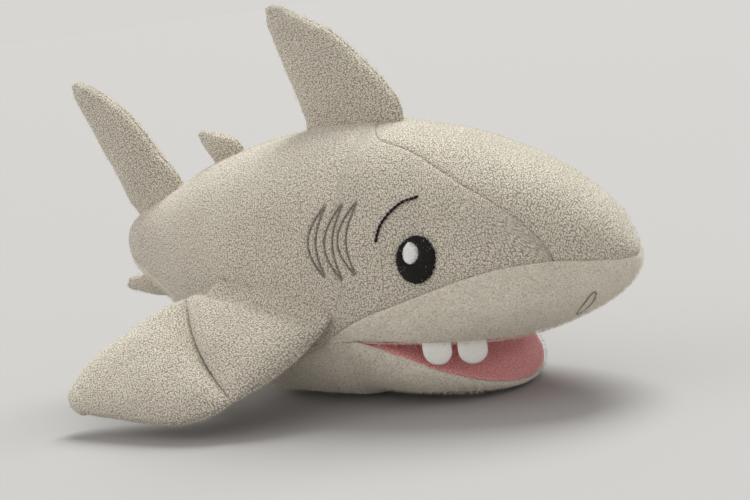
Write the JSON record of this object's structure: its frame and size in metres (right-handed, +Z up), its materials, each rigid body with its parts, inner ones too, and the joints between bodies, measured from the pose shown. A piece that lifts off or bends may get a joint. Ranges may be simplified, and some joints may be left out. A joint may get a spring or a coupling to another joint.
{
  "type": "plush shark",
  "caption": "Stuffed terry shark toy with an open lined mouth, felt teeth, embroidered eyes and gills, and sewn-on fins that flex and spring back",
  "frame": {"origin": "on the floor under the middle of the toy, in its plane of symmetry", "axes": "+X from tail to nose, +Y to the shark's left, +Z up"},
  "size_m": [0.2963, 0.1914, 0.1669],
  "materials": {
    "grey_terry": "looped terry pile, matt",
    "white_velour": "short velour pile, matt",
    "pink_terry": "looped terry pile, matt",
    "filling": "loose polyester fibre",
    "black_thread": "satin stitch, slight sheen",
    "white_thread": "satin stitch, slight sheen",
    "taupe_thread": "matt running stitch",
    "white_felt": "pressed felt, matt"
  },
  "bodies": {
    "body": {"body_filling": "filling", "side_panel_right": "grey_terry", "side_panel_left": "grey_terry", "snout_gusset": "grey_terry", "lip_panel": "white_velour", "mouth_lining": "pink_terry", "belly_panel": "white_velour", "tooth_right_rear": "white_felt", "tooth_right_front": "white_felt", "tooth_left_rear": "white_felt", "tooth_left_front": "white_felt", "eye_right": "black_thread", "eye_left": "black_thread", "eye_glint_right": "white_thread", "eye_glint_left": "white_thread", "brow_right": "black_thread", "brow_left": "black_thread", "gill_right_1": "taupe_thread", "gill_right_2": "taupe_thread", "gill_right_3": "taupe_thread", "gill_left_1": "taupe_thread", "gill_left_2": "taupe_thread", "gill_left_3": "taupe_thread", "nostril_right": "taupe_thread", "nostril_left": "taupe_thread"},
    "jaw": {"jaw_cover": "white_velour", "jaw_lining": "pink_terry", "jaw_filling": "filling"},
    "dorsal_fin": {"dorsal_fin_right": "grey_terry", "dorsal_fin_left": "grey_terry", "dorsal_fin_filling": "filling"},
    "second_fin": {"second_fin_right": "grey_terry", "second_fin_left": "grey_terry", "second_fin_filling": "filling"},
    "upper_tail": {"upper_tail_right": "grey_terry", "upper_tail_left": "grey_terry", "upper_tail_filling": "filling"},
    "lower_tail": {"lower_tail_right": "grey_terry", "lower_tail_left": "grey_terry", "lower_tail_filling": "filling"},
    "right_fin_inner": {"right_fin_inner_top": "grey_terry", "right_fin_inner_bottom": "grey_terry", "right_fin_inner_filling": "filling"},
    "right_fin_outer": {"right_fin_outer_top": "grey_terry", "right_fin_outer_bottom": "grey_terry", "right_fin_outer_filling": "filling"},
    "left_fin_inner": {"left_fin_inner_top": "grey_terry", "left_fin_inner_bottom": "grey_terry", "left_fin_inner_filling": "filling"},
    "left_fin_outer": {"left_fin_outer_top": "grey_terry", "left_fin_outer_bottom": "grey_terry", "left_fin_outer_filling": "filling"}
  },
  "joints": [
    {"name": "jaw_hinge", "type": "hinge", "parent": "body", "child": "jaw", "pos_m": [0.039, 0, 0.03], "axis": [0, 1, 0], "range_deg": [-12, 12], "stiffness_Nm_per_rad": 0.1},
    {"name": "right_shoulder", "type": "hinge", "parent": "body", "child": "right_fin_inner", "pos_m": [0.031, -0.0555, 0.038], "axis": [-0.9801, 0.0302, 0.196], "range_deg": [-12, 50], "stiffness_Nm_per_rad": 0.12},
    {"name": "right_fold", "type": "hinge", "parent": "right_fin_inner", "child": "right_fin_outer", "pos_m": [-0.0427, -0.0564, 0.05], "axis": [-0.699, 0.4786, 0.5314], "range_deg": [-30, 35], "stiffness_Nm_per_rad": 0.08},
    {"name": "left_shoulder", "type": "hinge", "parent": "body", "child": "left_fin_inner", "pos_m": [0.031, 0.0555, 0.038], "axis": [0.9801, 0.0302, -0.196], "range_deg": [-12, 50], "stiffness_Nm_per_rad": 0.12},
    {"name": "left_fold", "type": "hinge", "parent": "left_fin_inner", "child": "left_fin_outer", "pos_m": [-0.0427, 0.0564, 0.05], "axis": [0.699, 0.4786, -0.5314], "range_deg": [-30, 35], "stiffness_Nm_per_rad": 0.08},
    {"name": "dorsal_flop", "type": "hinge", "parent": "body", "child": "dorsal_fin", "pos_m": [0.018, 0, 0.1189], "axis": [1, 0, 0], "range_deg": [-30, 30], "stiffness_Nm_per_rad": 0.08},
    {"name": "second_fin_flop", "type": "hinge", "parent": "body", "child": "second_fin", "pos_m": [-0.0565, 0, 0.1056], "axis": [0.9404, 0, 0.3401], "range_deg": [-30, 30], "stiffness_Nm_per_rad": 0.02},
    {"name": "upper_tail_swing", "type": "hinge", "parent": "body", "child": "upper_tail", "pos_m": [-0.1052, 0, 0.0886], "axis": [0.8766, 0, 0.4813], "range_deg": [-30, 30], "stiffness_Nm_per_rad": 0.08},
    {"name": "lower_tail_swing", "type": "hinge", "parent": "body", "child": "lower_tail", "pos_m": [-0.1092, 0, 0.0467], "axis": [0.862, 0, -0.507], "range_deg": [-30, 30], "stiffness_Nm_per_rad": 0.02}
  ]
}
